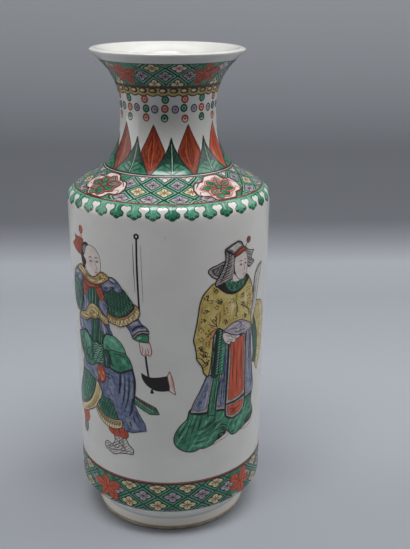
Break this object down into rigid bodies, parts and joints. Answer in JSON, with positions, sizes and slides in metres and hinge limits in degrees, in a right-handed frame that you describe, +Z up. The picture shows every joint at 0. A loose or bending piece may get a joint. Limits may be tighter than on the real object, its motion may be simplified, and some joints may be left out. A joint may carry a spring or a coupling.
{
  "type": "rouleau vase",
  "caption": "Tall porcelain vase with a nearly straight body, recessed foot, sloping shoulder, waisted neck and trumpet mouth; holds flowers or stands as ornament.",
  "frame": {"origin": "centre of the standing face of the foot ring", "axes": "+Z up along the vase's axis of revolution; -Y is the painted front"},
  "size_m": [0.1082, 0.1082, 0.2601],
  "materials": {
    "porcelain_body": "bare fired porcelain, matt and faintly warm",
    "porcelain_slip": "fired porcelain slip, matt",
    "clear_glaze": "gloss glaze over white porcelain, painted over in enamels"
  },
  "bodies": {
    "root": {"base_and_foot": "porcelain_body", "lower_body": "porcelain_body", "upper_body": "porcelain_body", "shoulder": "porcelain_body", "neck_and_mouth": "porcelain_body", "foot_slip": "porcelain_slip", "middle_slip": "porcelain_slip", "shoulder_slip": "porcelain_slip", "neck_slip": "porcelain_slip", "outer_glaze": "clear_glaze", "inner_glaze": "clear_glaze", "base_glaze": "clear_glaze"}
  },
  "joints": []
}
